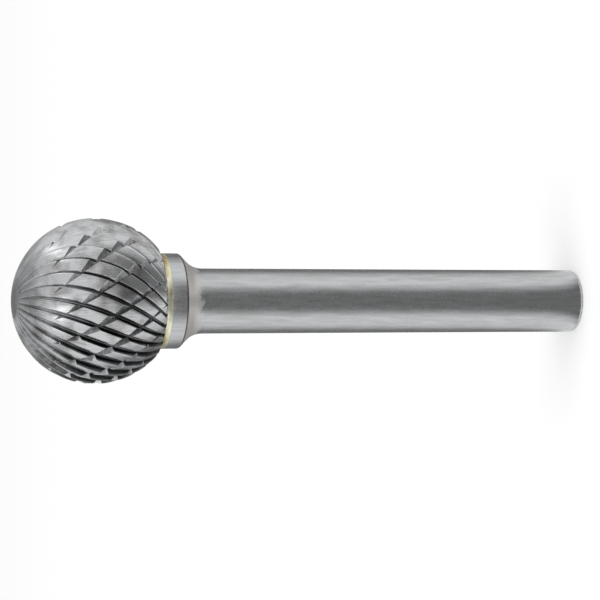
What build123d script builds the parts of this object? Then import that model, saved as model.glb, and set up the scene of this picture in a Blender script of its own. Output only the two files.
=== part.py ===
"""Carbide burr: a fluted carbide ball brazed to a steel shank, standing on the end of its shank.

Each piece is built along the burr's own axis, with the tip of the ball at Z = 0 and the tail of the
shank at Z = overall_length. The whole burr is then turned over, so that it stands on its tail with
the ball on top. Angles on the ball are counted from the tip, at the centre of the ball.
"""

import os
from math import cos, log, pi, radians, sin, sqrt, tan

from build123d import *

# Driving dimensions, in millimetres and degrees.
# Overall
overall_length = 58.0
ball_diameter = 15.875
rim_angle = 137.0
rim_length = 0.26
back_inset = 0.61

# Flutes, a right-hand set whose slant grows with the distance from the tip
flute_count = 30
flute_depth = 0.62
flute_start_angle = 15.0
flute_fullest_angle = 90.0
flute_slant = 0.40
tooth_land = 0.08
root_share = 0.22
wall_overrun = 0.05

# Chip breakers, a shallower left-hand set that crosses the flutes
breaker_count = 15
breaker_depth = 0.58
breaker_start_angle = 46.0
breaker_fullest_angle = 93.0
breaker_climb = 0.70
breaker_gentle_side = 0.70
breaker_steep_side = 0.26
breaker_phase = -0.9
phase_angle = 80.0

# Braze and shank
braze_thickness = 0.55
collar_inset = 0.175
collar_length = 1.48
collar_bevel = 0.15
shank_diameter = 6.35
neck_radius = 2.5
neck_cone_angle = 45.0
tail_chamfer = 0.15

# Lofts of the cutters, which start and end a little off the ball
station_step = 33.0
run_out = 3.5
cutter_clearance = 0.35

# Worked out from the sizes above.
ball_radius = ball_diameter / 2
rim_radius = ball_radius * sin(radians(rim_angle))
rim_height = ball_radius * (1 - cos(radians(rim_angle)))
head_length = rim_height + rim_length
back_radius = rim_radius - back_inset
collar_radius = back_radius - collar_inset
shank_radius = shank_diameter / 2
flute_pitch = 2 * pi / flute_count
collar_start = head_length + braze_thickness
collar_end = collar_start + collar_length


def ring_point(angle, depth, turn):
    """Point level with the ball's ring at an angle from the tip, a depth below its surface.

    The point lies at a turn about the axis, as far out as a ball smaller by that depth reaches.
    """
    above_centre = ball_radius * cos(radians(angle))
    radius = sqrt((ball_radius - depth) ** 2 - above_centre**2)
    return Vector(radius * cos(turn), radius * sin(turn), ball_radius - above_centre)


def flute_turn(angle):
    """Turn of a flute about the axis: the tangent of its slant is flute_slant times height / radius."""
    return -2 * flute_slant * log(cos(radians(angle) / 2))


def breaker_turn(angle):
    """Turn of a chip breaker about the axis, the other way round and even along the ball."""
    return -breaker_climb * radians(angle - phase_angle)


def swell(angle, start, fullest):
    """Share of the full depth at an angle: nothing at the start, one where the cut is fullest."""
    return 1 - ((angle - fullest) / (fullest - start)) ** 2


def stations(start_angle):
    """Angles of the sections of a cutter, evenly spaced from ahead of its start to past the rim."""
    first = start_angle - run_out
    length = rim_angle + run_out - first
    count = max(3, round(length / station_step))
    return [first + length * i / count for i in range(count + 1)]


def cutter_section(angle, steps):
    """Flat outline of a cutter level with the ring at an angle, from pairs of turn and depth."""
    corners = [ring_point(angle, depth, turn) for turn, depth in steps]
    return Face(Wire.make_polygon(corners, close=True))


def flute_section(angle):
    """Section of the gap in front of a tooth: its steep rake, the root, the back of the next tooth.

    The tooth's edge is at the flute's turn, and the gap ends at the land of the tooth ahead of it.
    Rake and back run on a little past the ball's surface before the section opens outwards.
    """
    depth = flute_depth * swell(angle, flute_start_angle, flute_fullest_angle)
    edge = flute_turn(angle)
    gap = flute_pitch - tooth_land / (ball_radius * sin(radians(angle)))
    root = root_share * flute_pitch
    rake_top = edge + root * wall_overrun
    back_top = edge - gap - (gap - root) * wall_overrun
    return cutter_section(
        angle,
        [
            (rake_top, -cutter_clearance),
            (rake_top, -depth * wall_overrun),
            (edge - root, depth),
            (back_top, -depth * wall_overrun),
            (back_top, -cutter_clearance),
        ],
    )


def breaker_section(angle):
    """Section of a chip breaker: a lopsided V, gentle on the side where the tip is."""
    depth = breaker_depth * swell(angle, breaker_start_angle, breaker_fullest_angle)
    middle = breaker_turn(angle) + flute_turn(phase_angle) - radians(breaker_phase)
    opening = (1 + cutter_clearance / breaker_depth) / ball_radius
    brim = depth - breaker_depth - cutter_clearance
    return cutter_section(
        angle,
        [
            (middle - breaker_gentle_side * opening, brim),
            (middle, depth),
            (middle + breaker_steep_side * opening, brim),
        ],
    )


def around_axis(solid, count):
    """A set of equally spaced copies of a solid about the axis."""
    return Compound([Rot(0, 0, 360 / count * i) * solid for i in range(count)])


def head_blank():
    """The ground ball before fluting, with a steep rear rim and a flat back."""
    with BuildPart() as blank:
        with BuildSketch(Plane.XZ):
            with BuildLine():
                ThreePointArc((0, 0), (ball_radius, ball_radius), (rim_radius, rim_height))
                Polyline((rim_radius, rim_height), (back_radius, head_length), (0, head_length), (0, 0))
            make_face()
        revolve(axis=Axis.Z)
    return blank.part


def carbide_head():
    """The ball with its chip breakers and the deeper flutes that cross them."""
    breaker = loft([breaker_section(angle) for angle in stations(breaker_start_angle)])
    flute = loft([flute_section(angle) for angle in stations(flute_start_angle)])
    notched = head_blank().cut(around_axis(breaker, breaker_count))
    return notched.cut(around_axis(flute, flute_count))


def braze_joint():
    """Layer of brazing alloy that tapers from the ball's back to the collar."""
    with BuildPart() as joint:
        with BuildSketch(Plane.XZ):
            with BuildLine():
                Polyline(
                    (0, head_length),
                    (back_radius, head_length),
                    (collar_radius, collar_start),
                    (0, collar_start),
                    close=True,
                )
            make_face()
        revolve(axis=Axis.Z)
    return joint.part


def steel_shank():
    """Collar, coned and hollowed neck, and straight shank with a chamfered tail, turned as one.

    The hollow of the neck runs tangent from the cone into the shank, as an arc of its radius does,
    and where the collar stands low over the shank the hollow gets smaller with it.
    """
    cone = radians(neck_cone_angle)
    hollow = min(neck_radius, 0.9 * (collar_radius - shank_radius) / (1 - cos(cone)))
    cone_foot = shank_radius + hollow * (1 - cos(cone))
    cone_end = collar_end + (collar_radius - cone_foot) / tan(cone)
    bend = cone_end + (cone_foot - shank_radius) / tan(cone)
    neck_end = cone_end + hollow * sin(cone)
    with BuildPart() as shank:
        with BuildSketch(Plane.XZ):
            with BuildLine():
                Polyline(
                    (0, collar_start),
                    (collar_radius, collar_start),
                    (collar_radius, collar_end),
                    (cone_foot, cone_end),
                )
                Bezier((cone_foot, cone_end), (shank_radius, bend), (shank_radius, neck_end))
                Polyline(
                    (shank_radius, neck_end),
                    (shank_radius, overall_length - tail_chamfer),
                    (shank_radius - tail_chamfer, overall_length),
                    (0, overall_length),
                    (0, collar_start),
                )
            make_face()
        revolve(axis=Axis.Z)
        rings = shank.edges().filter_by(GeomType.CIRCLE)
        chamfer(rings.filter_by_position(Axis.Z, collar_end - 0.001, collar_end + 0.001), collar_bevel)
    return shank.part


def main():
    """Build each piece, stand it on the tail and write it."""
    os.makedirs("parts", exist_ok=True)
    standing = Pos(0, 0, overall_length) * Rot(180, 0, 0)
    export_step(standing * carbide_head(), "parts/carbide_head.step")
    export_step(standing * braze_joint(), "parts/braze_joint.step")
    export_step(standing * steel_shank(), "parts/steel_shank.step")


main()
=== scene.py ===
"""Carbide burr: a ground, double-cut carbide ball brazed to a steel shank, on a pale studio floor.

The burr stands on its tail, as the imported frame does. Lengths in the classes are millimetres, and
MM turns them to Blender's metres. Places along the burr are counted from the tip of the ball, and
angles on the ball from the tip, at the centre of the ball. The sizes repeat those of the part's
source.
"""

import logging
from dataclasses import dataclass
from enum import Enum
from math import cos, pi, radians, sin, tan

import bpy
import numpy as np
from mathutils import Matrix, Vector


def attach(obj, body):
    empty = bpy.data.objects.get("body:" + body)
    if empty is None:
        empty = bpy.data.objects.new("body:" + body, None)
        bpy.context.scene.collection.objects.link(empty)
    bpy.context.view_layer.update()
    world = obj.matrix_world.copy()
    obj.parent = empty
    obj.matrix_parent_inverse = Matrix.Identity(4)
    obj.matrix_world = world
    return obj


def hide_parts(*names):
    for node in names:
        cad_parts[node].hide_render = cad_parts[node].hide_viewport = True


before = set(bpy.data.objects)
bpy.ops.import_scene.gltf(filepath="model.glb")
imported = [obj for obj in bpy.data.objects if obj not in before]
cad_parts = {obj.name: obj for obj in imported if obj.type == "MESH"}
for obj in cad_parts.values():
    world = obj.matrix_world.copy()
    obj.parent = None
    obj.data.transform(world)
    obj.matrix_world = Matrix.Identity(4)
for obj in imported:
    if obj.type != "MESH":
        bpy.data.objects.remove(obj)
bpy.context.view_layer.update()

MM = 0.001
LOG = logging.getLogger("carbide burr")

# What an input of a node takes: a socket to link, a number or a colour.
Source = bpy.types.NodeSocket | float | tuple


class SkinMap(Enum):
    """The UV maps that materials read, by the names that meshes give them."""

    FLUTES = "flutes"
    PAINTED_SHADE = "soot"
    OFFSET = "offset"


def linear(hex_colour: str) -> tuple[float, float, float, float]:
    """Turn an sRGB hex colour into the linear colour that Blender's sockets take.

    Args:
        hex_colour: Six hex digits, with or without a hash in front.

    Returns:
        Linear red, green and blue from 0 to 1, and an alpha of 1.
    """
    digits = hex_colour.lstrip("#")
    srgb = [int(digits[i : i + 2], 16) / 255 for i in (0, 2, 4)]
    red, green, blue = [c / 12.92 if c <= 0.04045 else ((c + 0.055) / 1.055) ** 2.4 for c in srgb]
    return red, green, blue, 1.0


def add(tree: bpy.types.NodeTree, kind: str, settings: dict, inputs: dict) -> bpy.types.Node:
    """Add a node with its settings, and give each input a value or a link.

    Args:
        tree: The node tree that gets the node.
        kind: Blender's type name of the node.
        settings: Attributes of the node itself.
        inputs: Values or sockets to link, by the input's name or number.

    Returns:
        The new node.
    """
    node = tree.nodes.new(kind)
    for name, value in settings.items():
        setattr(node, name, value)
    for key, value in inputs.items():
        if isinstance(value, bpy.types.NodeSocket):
            tree.links.new(value, node.inputs[key])
        else:
            node.inputs[key].default_value = value
    return node


def empty_material(name: str) -> bpy.types.Material:
    """Make a node material with nothing in its tree.

    Args:
        name: Name of the material.

    Returns:
        The material.
    """
    material = bpy.data.materials.new(name)
    material.use_nodes = True
    material.node_tree.nodes.clear()
    return material


def spread(tree: bpy.types.NodeTree, value: bpy.types.NodeSocket, low: float, high: float,
           first: float = 0.0, last: float = 1.0) -> bpy.types.NodeSocket:
    """Map a value from one range onto another and hold it there.

    Args:
        tree: The node tree that gets the node.
        value: Socket with the value.
        low: Value that becomes first.
        high: Value that becomes last.
        first: Result at and beyond low.
        last: Result at and beyond high.

    Returns:
        Socket with the result.
    """
    inputs = {"Value": value, "From Min": low, "From Max": high, "To Min": first, "To Max": last}
    return add(tree, "ShaderNodeMapRange", {"clamp": True}, inputs).outputs["Result"]


def blend_colours(tree: bpy.types.NodeTree, share: bpy.types.NodeSocket, first: Source,
                  second: Source) -> bpy.types.NodeSocket:
    """Mix two colours.

    Args:
        tree: The node tree that gets the node.
        share: Share of the second colour, from 0 to 1.
        first: The first colour, a value or a socket.
        second: The second colour, a value or a socket.

    Returns:
        Socket with the mixed colour.
    """
    mix = add(tree, "ShaderNodeMix", {"data_type": "RGBA"}, {0: share, 6: first, 7: second})
    return mix.outputs[2]


def calculate(tree: bpy.types.NodeTree, operation: str, first: Source,
              second: Source = 0.0) -> bpy.types.NodeSocket:
    """Do one sum on two values.

    Args:
        tree: The node tree that gets the node.
        operation: Blender's name of the Math node's operation.
        first: The first value or socket.
        second: The second value or socket.

    Returns:
        Socket with the result.
    """
    return add(tree, "ShaderNodeMath", {"operation": operation}, {0: first, 1: second}).outputs[0]


def noise(tree: bpy.types.NodeTree, place: bpy.types.NodeSocket,
          sizes_mm: tuple[float, float, float], detail: float = 2.0) -> bpy.types.NodeSocket:
    """Add a noise whose lumps have a real size.

    Args:
        tree: The node tree that gets the nodes.
        place: Socket with the place in metres.
        sizes_mm: Size of the lumps along each axis of the place.
        detail: Layers of finer noise on top.

    Returns:
        Socket with the noise, mostly between 0.2 and 0.8.
    """
    stretch = tuple(1.0 / (size * MM) for size in sizes_mm)
    mapped = add(tree, "ShaderNodeMapping", {}, {"Vector": place, "Scale": stretch})
    inputs = {"Vector": mapped.outputs["Vector"], "Scale": 1.0, "Detail": detail}
    return add(tree, "ShaderNodeTexNoise", {"noise_dimensions": "3D"}, inputs).outputs["Fac"]


def finish_metal(tree: bpy.types.NodeTree, inputs: dict) -> None:
    """End a material's tree with a metal shader.

    Args:
        tree: The node tree that gets the nodes.
        inputs: Values or sockets of the shader's inputs, by name.
    """
    shader = add(tree, "ShaderNodeBsdfPrincipled", {}, inputs)
    add(tree, "ShaderNodeOutputMaterial", {}, {"Surface": shader.outputs["BSDF"]})


@dataclass(frozen=True)
class GroundCarbide:
    """Sintered tungsten carbide, ground with a diamond wheel and left bare.

    To the eye it is a grey satin metal, with fine streaks along the flutes, duller smudges and a
    matt patch round the tip. Painted shade darkens its gullets and chip breakers.
    """

    colour: str = "#d4d6d8"
    smudge_colour: str = "#8e8c8a"
    tip_colour: str = "#8a8988"
    # A real gullet is bare, and dark from its shadow and what it mirrors. This colour paints part
    # of that dark as shade.
    gullet_shade_colour: str = "#2e2f32"
    smoothest: float = 0.17
    roughest: float = 0.36
    tip_roughness: float = 0.5
    # Real wheel marks are about 0.01 mm wide. They are drawn coarser, so that they show.
    streak_width_mm: float = 0.05
    streak_length_mm: float = 2.2
    streak_depth_mm: float = 0.004
    streak_strength: float = 0.6
    smudge_mm: float = 1.6
    detail: float = 3.0
    # Ranges of the noises over which smudges and streaks dull the colour, and by how much at most.
    smudge_range: tuple[float, float] = (0.45, 0.7)
    streak_range: tuple[float, float] = (0.35, 0.7)
    dulling: float = 0.6
    rough_range: tuple[float, float] = (0.3, 0.75)
    # The tip's patch is whole up to the first distance from the axis and gone from the second, and
    # it comes in between two heights, so that it is on the upper side of the ball alone.
    tip_reach_mm: tuple[float, float] = (0.9, 2.4)
    tip_heights_mm: tuple[float, float] = (40.0, 50.0)

    def tip_patch(self, tree: bpy.types.NodeTree,
                  place: bpy.types.NodeSocket) -> bpy.types.NodeSocket:
        """Say how much of the matt patch there is at a place.

        The distance from the axis is the root of the sum of the squares of X and Y.

        Args:
            tree: The node tree that gets the nodes.
            place: Socket with the object coordinates.

        Returns:
            Socket with the share, from 0 to 1.
        """
        axes = add(tree, "ShaderNodeSeparateXYZ", {}, {"Vector": place})
        across = calculate(tree, "POWER", axes.outputs["X"], 2.0)
        deep = calculate(tree, "POWER", axes.outputs["Y"], 2.0)
        off_axis = calculate(tree, "SQRT", calculate(tree, "ADD", across, deep))
        low, high = (height * MM for height in self.tip_heights_mm)
        whole, gone = (reach * MM for reach in self.tip_reach_mm)
        near_tip = spread(tree, off_axis, whole, gone, 1.0, 0.0)
        return calculate(tree, "MULTIPLY", near_tip, spread(tree, axes.outputs["Z"], low, high))

    def material(self) -> bpy.types.Material:
        """Build the material.

        Its streaks follow a UV map of across and along in metres, and the first value of a second
        UV map says how much painted shade darkens the gullets and chip breakers.

        Returns:
            The material.
        """
        made = empty_material("ground_carbide")
        tree = made.node_tree
        place = add(tree, "ShaderNodeTexCoord", {}, {}).outputs["Object"]
        flute_map = add(tree, "ShaderNodeUVMap", {"uv_map": SkinMap.FLUTES.value}, {}).outputs["UV"]
        streak_sizes = (self.streak_width_mm, self.streak_length_mm, 1.0)
        streaks = noise(tree, flute_map, streak_sizes, self.detail)
        smudges = noise(tree, place, (self.smudge_mm,) * 3, self.detail)
        tip = self.tip_patch(tree, place)
        dull = calculate(tree, "ADD", spread(tree, smudges, *self.smudge_range, 0.0, self.dulling),
                         spread(tree, streaks, *self.streak_range, 0.0, self.dulling))
        worked = blend_colours(tree, dull, linear(self.colour), linear(self.smudge_colour))
        worn = blend_colours(tree, tip, worked, linear(self.tip_colour))
        # Painted shade: the second UV map darkens the gullets and chip breakers towards the gullet
        # colour.
        painted_shade_map = add(tree, "ShaderNodeUVMap", {"uv_map": SkinMap.PAINTED_SHADE.value}, {}).outputs["UV"]
        soot = add(tree, "ShaderNodeSeparateXYZ", {}, {"Vector": painted_shade_map}).outputs["X"]
        ground = spread(tree, streaks, *self.rough_range, self.smoothest, self.roughest)
        dulled = calculate(tree, "MULTIPLY", tip, self.tip_roughness - self.smoothest)
        bump = add(tree, "ShaderNodeBump", {}, {
            "Height": streaks, "Distance": self.streak_depth_mm * MM,
            "Strength": self.streak_strength,
        })
        finish_metal(tree, {
            "Base Color": blend_colours(tree, soot, worn, linear(self.gullet_shade_colour)),
            "Metallic": 1.0,
            "Roughness": calculate(tree, "ADD", ground, dulled),
            "Normal": bump.outputs["Normal"],
        })
        return made


@dataclass(frozen=True)
class SilverBraze:
    """Silver brazing alloy, left as it flowed.

    To the eye it is a pale yellow satin line with ochre patches, a little lumpy.
    """

    colour: str = "#efeed4"
    ochre: str = "#d2bb78"
    smoothest: float = 0.25
    roughest: float = 0.5
    patch_mm: float = 1.4
    patch_range: tuple[float, float] = (0.45, 0.7)
    lump_mm: float = 0.35
    lump_depth_mm: float = 0.02
    lump_range: tuple[float, float] = (0.3, 0.7)

    def material(self) -> bpy.types.Material:
        """Build the material on object coordinates.

        Returns:
            The material.
        """
        made = empty_material("silver_braze")
        tree = made.node_tree
        place = add(tree, "ShaderNodeTexCoord", {}, {}).outputs["Object"]
        patches = noise(tree, place, (self.patch_mm,) * 3)
        lumps = noise(tree, place, (self.lump_mm,) * 3)
        ochre = spread(tree, patches, *self.patch_range)
        bump = add(tree, "ShaderNodeBump", {}, {
            "Height": lumps, "Distance": self.lump_depth_mm * MM,
        })
        finish_metal(tree, {
            "Base Color": blend_colours(tree, ochre, linear(self.colour), linear(self.ochre)),
            "Metallic": 1.0,
            "Roughness": spread(tree, lumps, *self.lump_range, self.smoothest, self.roughest),
            "Normal": bump.outputs["Normal"],
        })
        return made


@dataclass(frozen=True)
class GroundSteel:
    """Tool steel, centreless ground along the shank, with a matt, dusty neck.

    To the eye the shank is a satin metal with soft light and dark bands and faint long stains. The
    neck is paler and even, and a painted dark reflection runs thin along the collar's rear corner.
    """

    colour: str = "#c6c9cb"
    neck_colour: str = "#c4c3c0"
    smoothest: float = 0.23
    roughest: float = 0.31
    neck_roughness: float = 0.34
    # How much less metallic the dust makes the neck.
    neck_dust: float = 0.35
    stain_colour: str = "#9f9b97"
    stain_strength: float = 0.45
    stain_width_mm: float = 0.35
    stain_length_mm: float = 2.5
    stain_range: tuple[float, float] = (0.35, 0.7)
    # The grain of ground steel is about 0.02 mm, and its wheel lines are finer than 0.02 mm. Both
    # are drawn coarser, so that they show.
    grain_mm: float = 0.3
    grain_range: tuple[float, float] = (0.3, 0.7)
    line_mm: float = 0.06
    line_length_mm: float = 4.0
    line_depth_mm: float = 0.002
    line_strength: float = 0.5
    detail: float = 3.0
    # Painted dark reflection along the collar's rear corner: full within the core's distance of it,
    # gone at the reach.
    dark_reflection_colour: str = "#57544f"
    dark_reflection_core_mm: float = 0.044
    dark_reflection_reach_mm: float = 0.11
    corner_blur_mm: float = 0.02
    # The border between neck and shank wanders by the wave and is as soft as the blur.
    border_wave_mm: float = 0.5
    border_patch_mm: float = 1.2
    border_blur_mm: float = 0.12
    border_range: tuple[float, float] = (0.2, 0.8)

    def neck_share(self, tree: bpy.types.NodeTree, place: bpy.types.NodeSocket,
                   height: bpy.types.NodeSocket, neck_top: float,
                   neck_foot: float) -> bpy.types.NodeSocket:
        """Say how much of the matt neck there is at a place.

        Args:
            tree: The node tree that gets the nodes.
            place: Socket with the object coordinates.
            height: Socket with the height in metres.
            neck_top: Height at which the neck starts, in metres.
            neck_foot: Height at which it gives way to the shank, in metres.

        Returns:
            Socket with the share, from 0 to 1.
        """
        wave = noise(tree, place, (self.border_patch_mm,) * 3)
        reach = self.border_wave_mm * MM
        shift = spread(tree, wave, *self.border_range, -reach, reach)
        waved = calculate(tree, "ADD", height, shift)
        blur = self.border_blur_mm * MM
        below = spread(tree, waved, neck_foot - blur, neck_foot + blur)
        edge = self.corner_blur_mm * MM
        above = spread(tree, height, neck_top - edge, neck_top + edge, 1.0, 0.0)
        return calculate(tree, "MULTIPLY", below, above)

    def material(self, neck_top: float, neck_foot: float) -> bpy.types.Material:
        """Build the material on object coordinates.

        Args:
            neck_top: Height of the collar's rear corner in metres, where the matt neck starts.
            neck_foot: Height at which the matt neck gives way to the ground shank, in metres.

        Returns:
            The material.
        """
        made = empty_material("ground_steel")
        tree = made.node_tree
        place = add(tree, "ShaderNodeTexCoord", {}, {}).outputs["Object"]
        height = add(tree, "ShaderNodeSeparateXYZ", {}, {"Vector": place}).outputs["Z"]
        neck = self.neck_share(tree, place, height, neck_top, neck_foot)
        grain = noise(tree, place, (self.grain_mm,) * 3, self.detail)
        lines = noise(tree, place, (self.line_length_mm, self.line_length_mm, self.line_mm))
        ground = spread(tree, grain, *self.grain_range, self.smoothest, self.roughest)
        matt = calculate(tree, "MULTIPLY", neck, self.neck_roughness - self.smoothest)
        stain_sizes = (self.stain_width_mm, self.stain_width_mm, self.stain_length_mm)
        stains = noise(tree, place, stain_sizes, self.detail)
        stained = spread(tree, stains, *self.stain_range, 0.0, self.stain_strength)
        # Painted dark reflection: a thin dark band along the collar's rear corner.
        off_corner = calculate(tree, "ABSOLUTE", calculate(tree, "SUBTRACT", height, neck_top))
        core = self.dark_reflection_core_mm * MM
        dark_reflection = spread(tree, off_corner, core, self.dark_reflection_reach_mm * MM, 1.0, 0.0)
        bright = blend_colours(tree, stained, linear(self.colour), linear(self.stain_colour))
        steel = blend_colours(tree, neck, bright, linear(self.neck_colour))
        dust = calculate(tree, "MULTIPLY", neck, self.neck_dust)
        bump = add(tree, "ShaderNodeBump", {}, {
            "Height": lines, "Distance": self.line_depth_mm * MM, "Strength": self.line_strength,
        })
        finish_metal(tree, {
            "Base Color": blend_colours(tree, dark_reflection, steel, linear(self.dark_reflection_colour)),
            "Metallic": calculate(tree, "SUBTRACT", 1.0, dust),
            "Roughness": calculate(tree, "ADD", ground, matt),
            "Normal": bump.outputs["Normal"],
        })
        return made


def ring_mesh(name: str, rings: np.ndarray, maps: dict[str, np.ndarray],
              top: np.ndarray | None = None, foot: np.ndarray | None = None) -> bpy.types.Mesh:
    """Close rings of points, stacked from the top down, into one skin that faces outwards.

    Each quad joins point j and j + 1 of a ring to the same two of the next ring, and a ring's last
    point joins its first. Each end is closed by a fan to one point, or by a flat face without one.

    Args:
        name: Name of the mesh.
        rings: Points in metres, as rings by points by xyz, each ring anticlockwise seen from above.
        maps: UV maps by name, as rings by points + 1 by 2, the last column closing the ring.
        top: Point that closes the first ring.
        foot: Point that closes the last ring.

    Returns:
        The mesh.
    """
    count, around = rings.shape[:2]
    index = np.arange(count * around).reshape(count, around)
    following = np.roll(index, -1, axis=1)
    quads = np.stack([index[:-1], index[1:], following[1:], following[:-1]], axis=-1).reshape(-1, 4)
    points = rings.reshape(-1, 3)
    faces = quads.tolist()
    if top is not None:
        points = np.vstack([points, top])
        pole = np.full(around, len(points) - 1)
        faces += np.stack([pole, index[0], following[0]], axis=-1).tolist()
    else:
        faces.append(index[0].tolist())
    if foot is not None:
        points = np.vstack([points, foot])
        pole = np.full(around, len(points) - 1)
        faces += np.stack([index[-1], pole, following[-1]], axis=-1).tolist()
    else:
        faces.append(index[-1][::-1].tolist())
    mesh = bpy.data.meshes.new(name)
    mesh.from_pydata(points.tolist(), [], faces)
    vertex = np.empty(len(mesh.loops), dtype=np.int32)
    mesh.loops.foreach_get("vertex_index", vertex)
    for map_name, uv in maps.items():
        corners = (uv[:-1, :-1], uv[1:, :-1], uv[1:, 1:], uv[:-1, 1:])
        sides = np.stack(corners, axis=2).reshape(-1, 2)
        by_point = uv[:, :-1].reshape(-1, 2)
        ends = by_point[np.minimum(vertex[len(sides) :], len(by_point) - 1)]
        mesh.uv_layers.new(name=map_name).data.foreach_set("uv", np.vstack([sides, ends]).ravel())
    mesh.update()
    return mesh


def smooth_by_angle(mesh: bpy.types.Mesh, angle: float) -> None:
    """Shade a mesh smooth, apart from its sharp edges.

    Args:
        mesh: The mesh.
        angle: Turn between two faces, in degrees, from which their edge is sharp.
    """
    mesh.polygons.foreach_set("use_smooth", np.ones(len(mesh.polygons), dtype=bool))
    mesh.set_sharp_from_angle(angle=radians(angle))
    mesh.update()


def place_object(name: str, mesh: bpy.types.Mesh) -> bpy.types.Object:
    """Put a mesh into the scene as an object at the origin.

    Args:
        name: Name of the object.
        mesh: Its mesh.

    Returns:
        The object.
    """
    made = bpy.data.objects.new(name, mesh)
    bpy.context.scene.collection.objects.link(made)
    return made


def dress(piece: bpy.types.Object, node: str, material: bpy.types.Material) -> None:
    """Give a piece its material, let it ride on the body and stand for its CAD node.

    Args:
        piece: The finished piece.
        node: Name of the CAD node that it stands for.
        material: Its material.
    """
    piece.data.materials.clear()
    piece.data.materials.append(material)
    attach(piece, "root")
    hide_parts(node)


def turned_rings(reach: np.ndarray, turn: np.ndarray,
                 height: np.ndarray | float) -> np.ndarray:
    """Turn a profile about the axis: each point is its reach out from it, at its turn and height.

    Args:
        reach: Distance from the axis in metres, as rings by one or by points.
        turn: Turn about the axis in radians, as one by points.
        height: Height in metres, one number or as rings by one or by points.

    Returns:
        Points, as rings by points by xyz.
    """
    parts = (reach * np.cos(turn), reach * np.sin(turn), height)
    return np.stack(np.broadcast_arrays(*parts), axis=-1)


def even_turns(count: int) -> np.ndarray:
    """Turns in radians of evenly spaced points round a circle, as one by points."""
    return np.linspace(0, 2 * pi, count, endpoint=False)[None, :]


def rounded_profile(corners: list[tuple[float, float, float]], steps: int = 6) -> np.ndarray:
    """Round the corners of a profile.

    Each corner gives way to an arc of its radius that is tangent to both runs: it starts and ends
    at radius * tan(half the turn) from the corner.

    Args:
        corners: Place along the burr, distance from the axis, and radius of the rounding, in mm.
        steps: Segments in each arc.

    Returns:
        Points of the profile, as points by (place along, distance from the axis).
    """
    points = [np.array(corners[0][:2])]
    for before, here, after in zip(corners, corners[1:], corners[2:]):
        middle = np.array(here[:2])
        inward = np.array(before[:2]) - middle
        onward = np.array(after[:2]) - middle
        inward = inward / np.linalg.norm(inward)
        onward = onward / np.linalg.norm(onward)
        turn = pi - np.arccos(np.clip(inward @ onward, -1, 1))
        if here[2] <= 0:
            points.append(middle)
            continue
        bisector = (inward + onward) / np.linalg.norm(inward + onward)
        centre = middle + bisector * here[2] / cos(turn / 2)
        first = middle + inward * here[2] * tan(turn / 2) - centre
        last = middle + onward * here[2] * tan(turn / 2) - centre
        share = np.linspace(0, 1, steps + 1)[:, None]
        arc = (np.sin((1 - share) * turn) * first + np.sin(share * turn) * last) / sin(turn)
        points.extend(centre + arc)
    points.append(np.array(corners[-1][:2]))
    return np.array(points)


@dataclass
class Burr:
    """Sizes of the burr that its pieces share, in mm and degrees."""

    overall_length: float = 58.0
    ball_radius: float = 7.9375
    rim_angle: float = 137.0
    rim_length: float = 0.26
    back_inset: float = 0.61
    braze_thickness: float = 0.55
    collar_inset: float = 0.175

    @property
    def rim_radius(self) -> float:
        """Distance from the axis of the ball's rear rim."""
        return self.ball_radius * sin(radians(self.rim_angle))

    @property
    def head_length(self) -> float:
        """Place along the burr of the ball's flat back."""
        return self.ball_radius * (1 - cos(radians(self.rim_angle))) + self.rim_length

    @property
    def back_radius(self) -> float:
        """Radius of the ball's flat back."""
        return self.rim_radius - self.back_inset

    @property
    def collar_radius(self) -> float:
        """Radius of the shank's collar."""
        return self.back_radius - self.collar_inset

    def height(self, along: np.ndarray | float) -> np.ndarray | float:
        """Height above the floor, in metres, of a place along the burr."""
        return (self.overall_length - along) * MM


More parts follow.
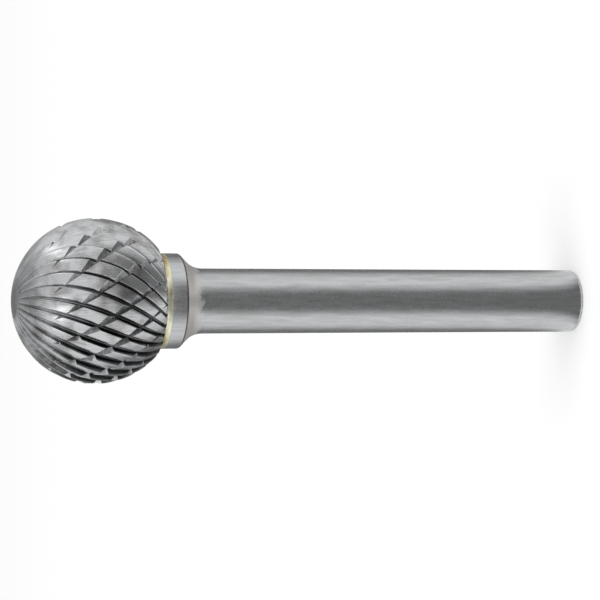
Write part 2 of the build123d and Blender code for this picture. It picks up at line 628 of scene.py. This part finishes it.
@dataclass
class CarbideHead:
    """The fluted ball: right-hand teeth with rounded gullets, and left-hand chip breakers."""

    burr: Burr
    tooth_count: int = 30
    depth: float = 0.62
    start_angle: float = 11.0
    fullest_angle: float = 90.0
    slant: float = 0.40
    land: float = 0.08
    row_step: float = 1.25
    breaker_count: int = 15
    breaker_depth: float = 0.58
    breaker_start: float = 46.0
    breaker_fullest: float = 93.0
    breaker_climb: float = 0.70
    gentle_side: float = 0.70
    steep_side: float = 0.26
    breaker_phase: float = -0.9
    phase_angle: float = 80.0
    clearance: float = 0.35
    sharp_angle: float = 28.0
    # Least share of the pitch that the gap keeps near the tip, where the land would fill it.
    least_gap: float = 0.5
    # Painted shade is how much darker the colour is made in the gullets. It comes in along a flute
    # between two angles.
    notch_painted_shade: float = 0.12
    least_painted_shade: float = 0.05
    painted_shade_start: float = 46.0
    painted_shade_full: float = 74.0
    # The cutters of the chip breakers start ahead of the cut and run on past the rim.
    cutter_stations: int = 56
    cutter_lead: float = 2.0
    cutter_overrun: float = 3.0
    # Angle that the streaks' map adds for the step behind the rim.
    step_angle: float = 4.0

    # Across one tooth from its edge: share of the pitch, share of the full depth, and painted shade
    # there.
    RAKE_AND_GULLET = (
        (0.0, 0.0, 0.0), (0.02, 0.30, 0.9), (0.045, 0.64, 1.0), (0.06, 0.82, 1.0),
        (0.08, 0.93, 0.9), (0.11, 0.99, 0.7), (0.14, 1.0, 0.45), (0.175, 0.93, 0.25),
        (0.205, 0.80, 0.1), (0.23, 0.66, 0.0),
    )
    # From the gullet to the land: share of that run, share of the full depth, and painted shade
    # there.
    BACK = (
        (0.04, 0.57, 0.0), (0.10, 0.49, 0.0), (0.18, 0.43, 0.0), (0.36, 0.335, 0.0),
        (0.58, 0.22, 0.0), (0.80, 0.105, 0.0), (1.0, 0.0, 0.0),
    )
    # Across a cutter, the width of its three faces in the streaks' map, in mm.
    CUTTER_ACROSS = (0.0, 0.7, 1.4, 2.1)

    def flute_turn(self, angle: np.ndarray | float) -> np.ndarray | float:
        """Turn of a flute about the axis: twice the slant times the log of cos(angle / 2)."""
        return 2 * self.slant * np.log(np.cos(np.radians(angle) / 2))

    def swell(self, angle: np.ndarray, start: float, fullest: float) -> np.ndarray:
        """Share of the full depth: one less the square of the distance from where it is fullest."""
        return 1 - ((angle - fullest) / (fullest - start)) ** 2

    def points(self, angle: np.ndarray, depth: np.ndarray, turn: np.ndarray) -> np.ndarray:
        """Points level with the ball's ring at an angle, a depth below its surface, at a turn.

        The ring's distance from the axis is the root of (radius - depth) squared less the square of
        its height above the ball's centre, so a cut keeps its ring's height.

        Args:
            angle: Angle of each ring from the tip, in degrees.
            depth: Depth of each point below the ball's surface, in mm.
            turn: Turn of each point about the axis, in radians.

        Returns:
            Points in metres, as rings by points by xyz.
        """
        above_centre = self.burr.ball_radius * np.cos(np.radians(angle))
        reach = np.sqrt((self.burr.ball_radius - depth) ** 2 - above_centre**2) * MM
        height = self.burr.height(self.burr.ball_radius - above_centre)
        return turned_rings(reach, turn, height)

    def toothed_ball(self) -> bpy.types.Mesh:
        """Build the ball with its teeth, without chip breakers.

        Each ring is at an angle from the tip, and its points run through the teeth: rake, gullet,
        back and land of each. The turn is the flute's own plus the share of the pitch, and the
        depth is the profile's share times the swell of the flute.

        Returns:
            The mesh, closed, with the maps of the streaks and of the painted shade.
        """
        burr = self.burr
        angle = np.arange(self.row_step, burr.rim_angle, self.row_step)
        angle = np.append(angle, burr.rim_angle)[:, None]
        pitch = 2 * pi / self.tooth_count
        ring = burr.ball_radius * np.sin(np.radians(angle))
        gap = np.maximum(1 - self.land / (ring * pitch), self.least_gap)
        front = np.array(self.RAKE_AND_GULLET)
        back = np.array(self.BACK)
        gullet_end = front[-1, 0]
        share = np.hstack([
            np.repeat(front[None, :, 0], len(angle), axis=0),
            gullet_end + (gap - gullet_end) * back[None, :, 0],
            (gap + 1) / 2,
        ])
        profile = np.concatenate([front[:, 1], back[:, 1], [0.0]])[None, :]
        swell = np.maximum(self.swell(angle, self.start_angle, self.fullest_angle), 0)
        swell = np.where(angle < self.start_angle, 0, swell)
        tooth_depth = self.depth * swell * profile
        # Painted shade grows along each flute and follows the tooth profile's last column.
        shade_along_flute = (angle - self.painted_shade_start) / (self.painted_shade_full - self.painted_shade_start)
        shade_along_flute = np.clip(shade_along_flute, self.least_painted_shade, 1)
        soot = np.concatenate([front[:, 2], back[:, 2], [0.0]])[None, :] * shade_along_flute
        tooth = np.arange(self.tooth_count)[None, :, None]
        turn = self.flute_turn(angle)[..., None] + (tooth + share[:, None, :]) * pitch
        turn = turn.reshape(len(angle), -1)
        depths = np.tile(tooth_depth, (1, self.tooth_count))
        ball = self.points(angle, depths, turn)
        back_height = burr.height(burr.head_length)
        back_edge = turned_rings(np.array([[burr.back_radius * MM]]), turn[-1:], back_height)
        rings = np.concatenate([ball, back_edge])
        across = np.concatenate([turn, turn[-1:]])
        across = np.hstack([across, across[:, :1] + 2 * pi]) * burr.ball_radius
        along = np.radians(np.append(angle[:, 0], burr.rim_angle + self.step_angle))
        along = along * burr.ball_radius
        uv = np.stack([across, np.repeat(along[:, None], across.shape[1], axis=1)], axis=-1) * MM
        tip = np.array([0.0, 0.0, burr.height(0.0)])
        middle = np.array([0.0, 0.0, back_height])
        soot = np.tile(soot, (1, self.tooth_count))
        soot = np.vstack([soot, soot[-1:]])
        soot = np.hstack([soot, soot[:, :1]])
        maps = {SkinMap.FLUTES.value: uv, SkinMap.PAINTED_SHADE.value: np.stack([soot, soot], axis=-1)}
        return ring_mesh("toothed_ball", rings, maps, tip, middle)

    def breaker_cutters(self) -> bpy.types.Object:
        """Build the closed V-shaped bars that cut the chip breakers.

        Each bar's corners are at the breaker's turn, which falls evenly with the angle: the V's
        root at its depth and its two brims outside the ball, wider on the side where the tip is.

        Returns:
            The bars, as one object.
        """
        burr = self.burr
        first = self.breaker_start - self.cutter_lead
        last = burr.rim_angle + self.cutter_overrun
        angle = np.linspace(first, last, self.cutter_stations)[:, None]
        depth = self.breaker_depth * self.swell(angle, self.breaker_start, self.breaker_fullest)
        middle = -self.breaker_climb * np.radians(angle - self.phase_angle)
        middle = middle - self.flute_turn(self.phase_angle) - radians(self.breaker_phase)
        opening = (1 + self.clearance / self.breaker_depth) / burr.ball_radius
        brim = depth - self.breaker_depth - self.clearance
        turns = middle + opening * np.array([[-self.gentle_side, 0.0, self.steep_side]])
        depths = np.hstack([brim, depth, brim])
        along = np.tile(np.radians(angle) * burr.ball_radius, (1, len(self.CUTTER_ACROSS)))
        across = np.tile(np.array([self.CUTTER_ACROSS]), (len(angle), 1))
        # The walls that the bars cut take this painted shade, which darkens the chip breakers.
        maps = {SkinMap.FLUTES.value: np.stack([along, across], axis=-1) * MM,
                SkinMap.PAINTED_SHADE.value: np.full(along.shape + (2,), self.notch_painted_shade)}
        parts = []
        for number in range(self.breaker_count):
            turned = -turns + 2 * pi / self.breaker_count * number
            mesh = ring_mesh("breaker_cutter", self.points(angle, depths, turned), maps)
            parts.append(place_object("breaker_cutter", mesh))
        with bpy.context.temp_override(active_object=parts[0], selected_editable_objects=parts,
                                       selected_objects=parts):
            bpy.ops.object.join()
        return parts[0]

    def build(self) -> bpy.types.Object:
        """Build the head, cut its chip breakers and dress it.

        Returns:
            The finished piece.
        """
        head = place_object("fluted_ball", self.toothed_ball())
        cutters = self.breaker_cutters()
        cut = head.modifiers.new("chip breakers", "BOOLEAN")
        cut.operation = "DIFFERENCE"
        cut.solver = "EXACT"
        cut.object = cutters
        shown = head.evaluated_get(bpy.context.evaluated_depsgraph_get())
        cut_mesh = bpy.data.meshes.new_from_object(shown)
        head.modifiers.clear()
        head.data = cut_mesh
        bpy.data.objects.remove(cutters)
        smooth_by_angle(head.data, self.sharp_angle)
        dress(head, "carbide_head", GroundCarbide().material())
        LOG.info("fluted ball: %d faces", len(head.data.polygons))
        return head


@dataclass
class BrazeJoint:
    """The layer of brazing alloy, with a hollow, slightly uneven edge."""

    burr: Burr
    around: int = 240
    rings: int = 13
    hollow: float = 0.05
    wave: float = 0.03
    sharp_angle: float = 40.0

    # Waves of the edge: number of them round the joint, share of the wave, and start in radians.
    WAVES = ((7, 0.5, 1.0), (13, 0.3, 2.2), (29, 0.2, 0.0))

    def build(self) -> bpy.types.Object:
        """Build and dress the joint.

        The edge runs from the ball's back to the collar in a straight taper, less a hollow that
        follows a half sine, and waves a little with the turn about the axis.

        Returns:
            The finished piece.
        """
        burr = self.burr
        share = np.linspace(0, 1, self.rings)[:, None]
        turn = even_turns(self.around)
        taper = burr.back_radius + (burr.collar_radius - burr.back_radius) * share
        uneven = sum(part * np.sin(count * turn + start) for count, part, start in self.WAVES)
        reach = (taper - np.sin(pi * share) * (self.hollow + self.wave * uneven)) * MM
        height = burr.height(burr.head_length + burr.braze_thickness * share)
        rings = turned_rings(reach, turn, height)
        top = np.array([0, 0, height[0, 0]])
        foot = np.array([0, 0, height[-1, 0]])
        mesh = ring_mesh("braze", rings, {}, top, foot)
        smooth_by_angle(mesh, self.sharp_angle)
        piece = place_object("braze_band", mesh)
        dress(piece, "braze_joint", SilverBraze().material())
        LOG.info("braze band: %d faces", len(mesh.polygons))
        return piece


@dataclass
class SteelShank:
    """Collar, coned and hollowed neck, and straight shank, turned as one."""

    burr: Burr
    collar_length: float = 1.48
    shank_radius: float = 3.175
    neck_radius: float = 2.5
    neck_cone_angle: float = 45.0
    collar_rounding: float = 0.25
    edge_rounding: float = 0.04
    tail_chamfer: float = 0.15
    tail_rounding: float = 0.08
    matt_to: float = 17.7
    # Radius of the first and last ring, inside which each end closes to a point.
    end_ring: float = 0.5
    around: int = 256
    sharp_angle: float = 30.0

    def build(self) -> bpy.types.Object:
        """Build and dress the shank by turning its rounded profile about the axis.

        Returns:
            The finished piece.
        """
        burr = self.burr
        start = burr.head_length + burr.braze_thickness
        collar_end = start + self.collar_length
        cone = (burr.collar_radius - self.shank_radius) / tan(radians(self.neck_cone_angle))
        tail = burr.overall_length
        profile = rounded_profile([
            (start, self.end_ring, 0.0),
            (start, burr.collar_radius, self.edge_rounding),
            (collar_end, burr.collar_radius, self.collar_rounding),
            (collar_end + cone, self.shank_radius, self.neck_radius),
            (tail - self.tail_chamfer, self.shank_radius, self.tail_rounding),
            (tail, self.shank_radius - self.tail_chamfer, self.tail_rounding),
            (tail, self.end_ring, 0.0),
        ])
        height = burr.height(profile[:, :1])
        rings = turned_rings(profile[:, 1:2] * MM, even_turns(self.around), height)
        top = np.array([0, 0, height[0, 0]])
        foot = np.array([0, 0, height[-1, 0]])
        mesh = ring_mesh("shank", rings, {}, top, foot)
        smooth_by_angle(mesh, self.sharp_angle)
        piece = place_object("turned_shank", mesh)
        steel = GroundSteel().material(burr.height(collar_end), burr.height(self.matt_to))
        dress(piece, "steel_shank", steel)
        LOG.info("turned shank: %d faces", len(mesh.polygons))
        return piece


@dataclass
class Studio:
    """Pale floor, soft light, glowing grey cards that paint what the metal mirrors, and the camera.

    Lengths of the floor, the lamps and the cards are metres. The camera's place is given from the
    middle of the ball, in mm to the picture's right, down and ahead.
    """

    burr: Burr
    floor_size: float = 6.0
    floor_colour: str = "#efefef"
    floor_glow: float = 0.12
    sky_level: float = 0.85
    lamp_reach: float = 0.55
    lamp_size: float = 0.5
    lamp_power: float = 0.8
    # Places of the lamps: offset to each side of the camera's azimuth, and elevation.
    lamp_offset: float = 75.0
    lamp_elevation: float = 40.0
    picture_width: int = 600
    focal_pixels: float = 2003.0
    sensor: float = 36.0
    tilt: float = 17.91
    azimuth: float = -88.92
    clip_start: float = 0.001
    clear_of_foot: float = 0.0033
    card_reach: float = 0.4
    card_lift: float = 0.0002
    low_wall: float = 0.14
    card_height: float = 0.5
    card_steps: int = 145
    ball_right: float = -19.691
    ball_down: float = 0.1
    ball_ahead: float = 191.94

    # Greys that the metal mirrors, by the offset from the camera's azimuth in degrees.
    CEILING = (
        (-180, "#8c8c8d"), (180, "#8c8c8d"), (-110, "#d2d3d4"), (-50, "#ececec"), (50, "#ececec"),
        (110, "#d2d3d4"),
    )
    HIGH = (
        (-180, "#9c9c9d"), (180, "#9c9c9d"), (-150, "#c4c5c6"), (-125, "#f6f7f8"), (125, "#f4f5f6"),
        (150, "#c4c5c6"),
    )
    LOW = (
        (-180, "#a8a8a8"), (180, "#a8a8a8"), (-150, "#cccccc"), (-125, "#f4f4f4"), (-60, "#ffffff"),
        (-35, "#d0d0cf"), (0, "#a3a19d"), (35, "#d0d0cf"), (60, "#ffffff"), (125, "#f0f0f0"),
        (150, "#cccccc"),
    )
    # The floor's cards are a dark one in front, a white one on each side and dark ones behind.
    FLOOR = (
        (-180, "#808080"), (180, "#808080"), (-130, "#808080"), (-100, "#f0f0f0"), (-60, "#ffffff"),
        (-30, "#808080"), (30, "#808080"), (60, "#ffffff"), (100, "#f0f0f0"), (130, "#808080"),
    )

    def floor(self) -> None:
        """Lay the pale floor, which takes the burr's shadow and shows white to the camera."""
        half = self.floor_size / 2
        mesh = bpy.data.meshes.new("floor")
        corners = [(-half, -half, 0), (half, -half, 0), (half, half, 0), (-half, half, 0)]
        mesh.from_pydata(corners, [], [(0, 1, 2, 3)])
        floor = place_object("floor", mesh)
        made = empty_material("pale_floor")
        tree = made.node_tree
        diffuse = add(tree, "ShaderNodeBsdfDiffuse", {}, {"Color": linear(self.floor_colour)})
        glow = add(tree, "ShaderNodeEmission", {}, {
            "Strength": calculate(tree, "MULTIPLY", self.seen_directly(tree), self.floor_glow),
        })
        both = add(tree, "ShaderNodeAddShader", {}, {0: diffuse.outputs[0], 1: glow.outputs[0]})
        add(tree, "ShaderNodeOutputMaterial", {}, {"Surface": both.outputs[0]})
        mesh.materials.append(made)

    def seen_directly(self, tree: bpy.types.NodeTree) -> bpy.types.NodeSocket:
        """Tell the rays that show a thing from those that only light by it.

        Args:
            tree: The node tree that gets the nodes.

        Returns:
            Socket with one for camera, glossy and transmission rays, and nothing for the rest.
        """
        path = add(tree, "ShaderNodeLightPath", {}, {}).outputs
        some = calculate(tree, "MAXIMUM", path["Is Camera Ray"], path["Is Glossy Ray"])
        return calculate(tree, "MAXIMUM", some, path["Is Transmission Ray"])

    def sky(self) -> None:
        """Light the scene evenly from all round, with a white background."""
        world = bpy.data.worlds.new("studio")
        bpy.context.scene.world = world
        world.use_nodes = True
        tree = world.node_tree
        tree.nodes.clear()
        level = spread(tree, self.seen_directly(tree), 0.0, 1.0, self.sky_level, 1.0)
        white = linear("#ffffff")
        light = add(tree, "ShaderNodeBackground", {}, {"Color": white, "Strength": level})
        add(tree, "ShaderNodeOutputWorld", {}, {"Surface": light.outputs[0]})

    def ring_of_cards(self, name: str, start: tuple[float, float], end: tuple[float, float],
                      greys: tuple[tuple[float, str], ...]) -> None:
        """Set up a ring of glowing cards round the burr that paint reflections, and that only
        reflections see.

        The UV map's first value runs from 0 to 1 as the offset from the camera's azimuth runs from
        -180 to 180 degrees, and a ramp of greys over it makes the dark and light cards.

        Args:
            name: Name of the ring.
            start: Distance from the axis and height of its inner or lower edge, in metres.
            end: The same of its outer or upper edge.
            greys: Offset from the camera's azimuth in degrees and colour of each stop of the ramp.
        """
        share = np.linspace(0, 1, self.card_steps)[None, :]
        turn = np.radians(self.azimuth - 180 + 360 * share)
        reach = np.array([[start[0]], [end[0]]])
        level = np.array([[start[1]], [end[1]]])
        points = turned_rings(reach, turn, level)
        index = np.arange(points.shape[0] * points.shape[1]).reshape(points.shape[:2])
        faces = np.stack([index[:-1, :-1], index[1:, :-1], index[1:, 1:], index[:-1, 1:]], axis=-1)
        faces = faces.reshape(-1, 4)
        mesh = bpy.data.meshes.new(name)
        mesh.from_pydata(points.reshape(-1, 3).tolist(), [], faces.tolist())
        across = np.tile(share, (points.shape[0], 1)).reshape(-1)[faces.reshape(-1)]
        uv = np.stack([across, np.zeros_like(across)], axis=-1)
        mesh.uv_layers.new(name=SkinMap.OFFSET.value).data.foreach_set("uv", uv.ravel())
        made = empty_material(name)
        tree = made.node_tree
        offset = add(tree, "ShaderNodeUVMap", {"uv_map": SkinMap.OFFSET.value}, {}).outputs["UV"]
        place = add(tree, "ShaderNodeSeparateXYZ", {}, {"Vector": offset}).outputs["X"]
        ramp = add(tree, "ShaderNodeValToRGB", {}, {"Fac": place})
        stops = ramp.color_ramp.elements
        # A new ramp has two stops already, which become the first two.
        for number, (degrees_off, colour) in enumerate(greys):
            position = (degrees_off + 180) / 360
            stop = stops[number] if number < 2 else stops.new(position)
            stop.position = position
            stop.color = linear(colour)
        # The cards glow with their greys: painted reflections for the metal.
        shine = {"Color": ramp.outputs["Color"], "Strength": 1.0}
        glow = add(tree, "ShaderNodeEmission", {}, shine)
        add(tree, "ShaderNodeOutputMaterial", {}, {"Surface": glow.outputs[0]})
        mesh.materials.append(made)
        card = place_object(name, mesh)
        card.visible_camera = False
        card.visible_diffuse = False
        card.visible_transmission = False
        card.visible_shadow = False

    def lamp(self, name: str, azimuth: float) -> None:
        """Hang a square soft lamp that faces the middle of the burr.

        Args:
            name: Name of the lamp.
            azimuth: Its azimuth about the burr's axis, in degrees.
        """
        data = bpy.data.lights.new(name, "AREA")
        data.shape = "SQUARE"
        data.size = self.lamp_size
        data.energy = self.lamp_power
        lamp = bpy.data.objects.new(name, data)
        rise = radians(self.lamp_elevation)
        level = Vector((cos(radians(azimuth)), sin(radians(azimuth)), 0))
        out = level * cos(rise) + Vector((0, 0, 1)) * sin(rise)
        middle = Vector((0, 0, self.burr.height(self.burr.overall_length / 2)))
        lamp.location = middle + out * self.lamp_reach
        lamp.rotation_euler = out.to_track_quat("Z", "Y").to_euler()
        bpy.context.scene.collection.objects.link(lamp)

    def camera(self) -> None:
        """Point the camera as the photograph was taken: its right is nearly straight down."""
        tilt = radians(self.tilt)
        toward = Vector((cos(radians(self.azimuth)), sin(radians(self.azimuth)), 0))
        up = Vector((0, 0, 1))
        right = toward * sin(tilt) - up * cos(tilt)
        down = toward.cross(up)
        ahead = -toward * cos(tilt) - up * sin(tilt)
        ball = Vector((0, 0, self.burr.height(self.burr.ball_radius)))
        offset = right * self.ball_right + down * self.ball_down + ahead * self.ball_ahead
        data = bpy.data.cameras.new("camera")
        data.sensor_width = self.sensor
        data.lens = self.focal_pixels / self.picture_width * self.sensor
        data.clip_start = self.clip_start
        camera = bpy.data.objects.new("camera", data)
        axes = Matrix((right, -down, -ahead)).transposed()
        camera.matrix_world = Matrix.Translation(ball - offset * MM) @ axes.to_4x4()
        bpy.context.scene.collection.objects.link(camera)
        bpy.context.scene.camera = camera

    def build(self) -> None:
        """Set up the whole studio."""
        bpy.context.scene.view_settings.view_transform = "Standard"
        self.floor()
        self.sky()
        foot = (self.clear_of_foot, self.card_lift)
        corner = (self.card_reach, self.card_lift)
        self.ring_of_cards("floor_cards", foot, corner, self.FLOOR)
        ledge = (self.card_reach, self.low_wall)
        eaves = (self.card_reach, self.card_height)
        self.ring_of_cards("low_wall", corner, ledge, self.LOW)
        self.ring_of_cards("high_wall", ledge, eaves, self.HIGH)
        zenith = (self.clear_of_foot, self.card_height)
        self.ring_of_cards("ceiling_cards", eaves, zenith, self.CEILING)
        self.lamp("left_lamp", self.azimuth - self.lamp_offset)
        self.lamp("right_lamp", self.azimuth + self.lamp_offset)
        self.camera()


def main() -> None:
    """Build the burr's pieces, each of which logs its faces, and the studio."""
    logging.basicConfig(level=logging.INFO)
    burr = Burr()
    CarbideHead(burr).build()
    BrazeJoint(burr).build()
    SteelShank(burr).build()
    Studio(burr).build()


if __name__ == "__main__":
    main()
